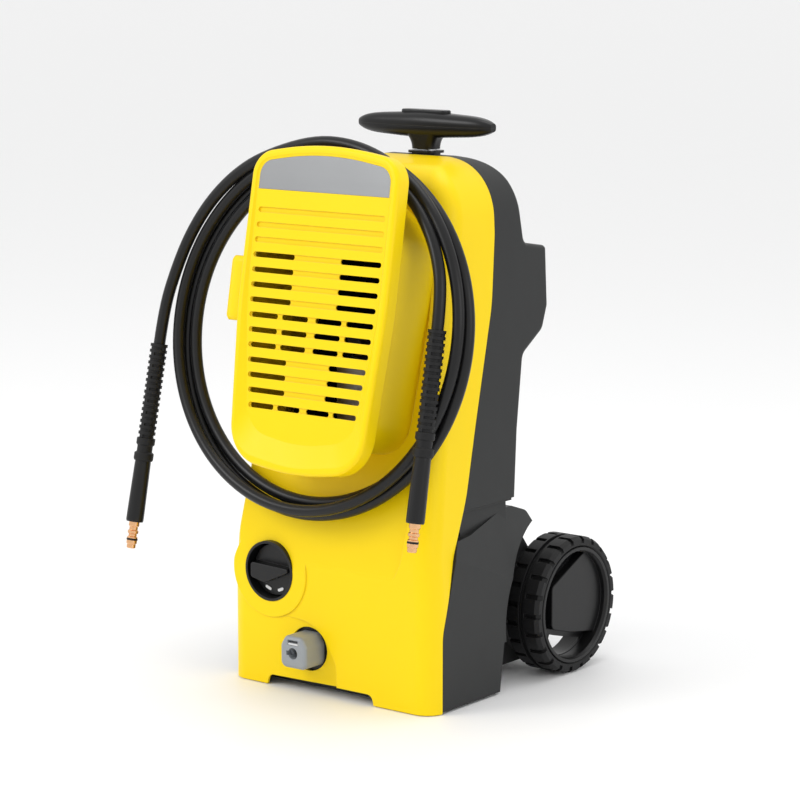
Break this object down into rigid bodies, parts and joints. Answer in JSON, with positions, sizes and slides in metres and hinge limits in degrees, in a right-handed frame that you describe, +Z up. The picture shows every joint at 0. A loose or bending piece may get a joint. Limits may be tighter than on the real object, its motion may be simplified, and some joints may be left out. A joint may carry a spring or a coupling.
{
  "type": "pressure washer",
  "caption": "Upright electric high-pressure washer with an inclined slotted front cover, wound hose, telescopic T handle, rotary switch and two rear wheels.",
  "frame": {"origin": "on the floor, in the middle of the machine's width and depth, without the hose", "axes": "+Z up, front towards -Y, wheels' axle along X"},
  "size_m": [0.4633, 0.4123, 0.666],
  "materials": {
    "yellow_plastic": "satin, fine grain",
    "dark_plastic": "satin, fine grain",
    "black_plastic": "satin",
    "rubber": "matt",
    "steel": "turned",
    "brass": "polished",
    "grey_plastic": "satin",
    "aluminium": "cast",
    "brushed_badge": "brushed along the width",
    "hose_rubber": "satin",
    "copper": "lacquered windings",
    "inner_plastic": "plain"
  },
  "bodies": {
    "machine": {"front_shell": "yellow_plastic", "front_cover": "yellow_plastic", "gun_holder": "yellow_plastic", "badge_plate": "brushed_badge", "rear_shell": "dark_plastic", "base_frame": "dark_plastic", "foot_pads": "rubber", "shell_screws": "steel", "axle": "steel", "axle_washers": "steel", "handle_guide": "black_plastic", "switch_bezel": "black_plastic", "switch_body": "inner_plastic", "outlet_collar": "black_plastic", "outlet_block": "grey_plastic", "outlet_pipe": "brass", "water_inlet": "black_plastic", "inlet_filter": "inner_plastic", "inlet_pipe": "inner_plastic", "cable_gland": "black_plastic", "pump_head": "aluminium", "cylinder_block": "aluminium", "pump_bolts": "steel", "swash_housing": "aluminium", "motor_housing": "aluminium", "motor_stator": "copper", "shaft_bearings": "steel", "capacitor": "aluminium", "hose_coil": "hose_rubber", "hose_tail_left": "hose_rubber", "hose_tail_right": "hose_rubber", "plug_seals": "rubber", "strain_relief_left": "rubber", "strain_relief_right": "rubber", "plug_sleeve_left": "black_plastic", "plug_sleeve_right": "black_plastic", "brass_plug_left": "brass", "brass_plug_right": "brass", "piston_spring_1": "steel", "piston_spring_2": "steel", "piston_spring_3": "steel"},
    "handle": {"handle_tube": "steel", "handle_grip": "black_plastic", "grip_base": "black_plastic", "button_spring": "steel"},
    "button": {"handle_button": "black_plastic"},
    "knob": {"switch_knob": "black_plastic"},
    "latch": {"outlet_latch": "grey_plastic"},
    "wheel_left": {"wheel_hub_left": "black_plastic", "tyre_left": "rubber"},
    "wheel_right": {"wheel_hub_right": "black_plastic", "tyre_right": "rubber"},
    "rotor": {"motor_shaft": "steel", "rotor_core": "steel", "swash_plate": "steel", "cooling_fan": "inner_plastic"},
    "piston_1": {"piston_1": "steel"},
    "piston_2": {"piston_2": "steel"},
    "piston_3": {"piston_3": "steel"}
  },
  "joints": [
    {"name": "handle_slide", "type": "slide", "parent": "machine", "child": "handle", "axis": [0, 0, 1], "range_m": [0, 0.19]},
    {"name": "handle_button_press", "type": "slide", "parent": "handle", "child": "button", "axis": [0, 0, -1], "range_m": [0, 0.003], "stiffness_N_per_m": 400, "springref_m": -0.003, "deforming": ["button_spring"]},
    {"name": "switch_turn", "type": "hinge", "parent": "machine", "child": "knob", "pos_m": [-0.086, -0.13, 0.137], "axis": [0, 1, 0], "range_deg": [0, 90]},
    {"name": "outlet_latch_lift", "type": "slide", "parent": "machine", "child": "latch", "axis": [0, 0, 1], "range_m": [0, 0.003], "stiffness_N_per_m": 300, "springref_m": -0.002},
    {"name": "wheel_left_spin", "type": "hinge", "parent": "machine", "child": "wheel_left", "pos_m": [-0.139, 0.124, 0.082], "axis": [1, 0, 0], "continuous": true},
    {"name": "wheel_right_spin", "type": "hinge", "parent": "machine", "child": "wheel_right", "pos_m": [0.139, 0.124, 0.082], "axis": [1, 0, 0], "continuous": true},
    {"name": "motor_spin", "type": "hinge", "parent": "machine", "child": "rotor", "pos_m": [0, -0.038, 0.3], "axis": [0, 0, 1], "continuous": true},
    {"name": "piston_1_stroke", "type": "slide", "parent": "machine", "child": "piston_1", "axis": [0, 0, -1], "range_m": [0, 0.008], "stiffness_N_per_m": 2000, "springref_m": -0.004, "deforming": ["piston_spring_1"]},
    {"name": "piston_2_stroke", "type": "slide", "parent": "machine", "child": "piston_2", "axis": [0, 0, -1], "range_m": [0, 0.008], "stiffness_N_per_m": 2000, "springref_m": -0.004, "deforming": ["piston_spring_2"]},
    {"name": "piston_3_stroke", "type": "slide", "parent": "machine", "child": "piston_3", "axis": [0, 0, -1], "range_m": [0, 0.008], "stiffness_N_per_m": 2000, "springref_m": -0.004, "deforming": ["piston_spring_3"]}
  ]
}
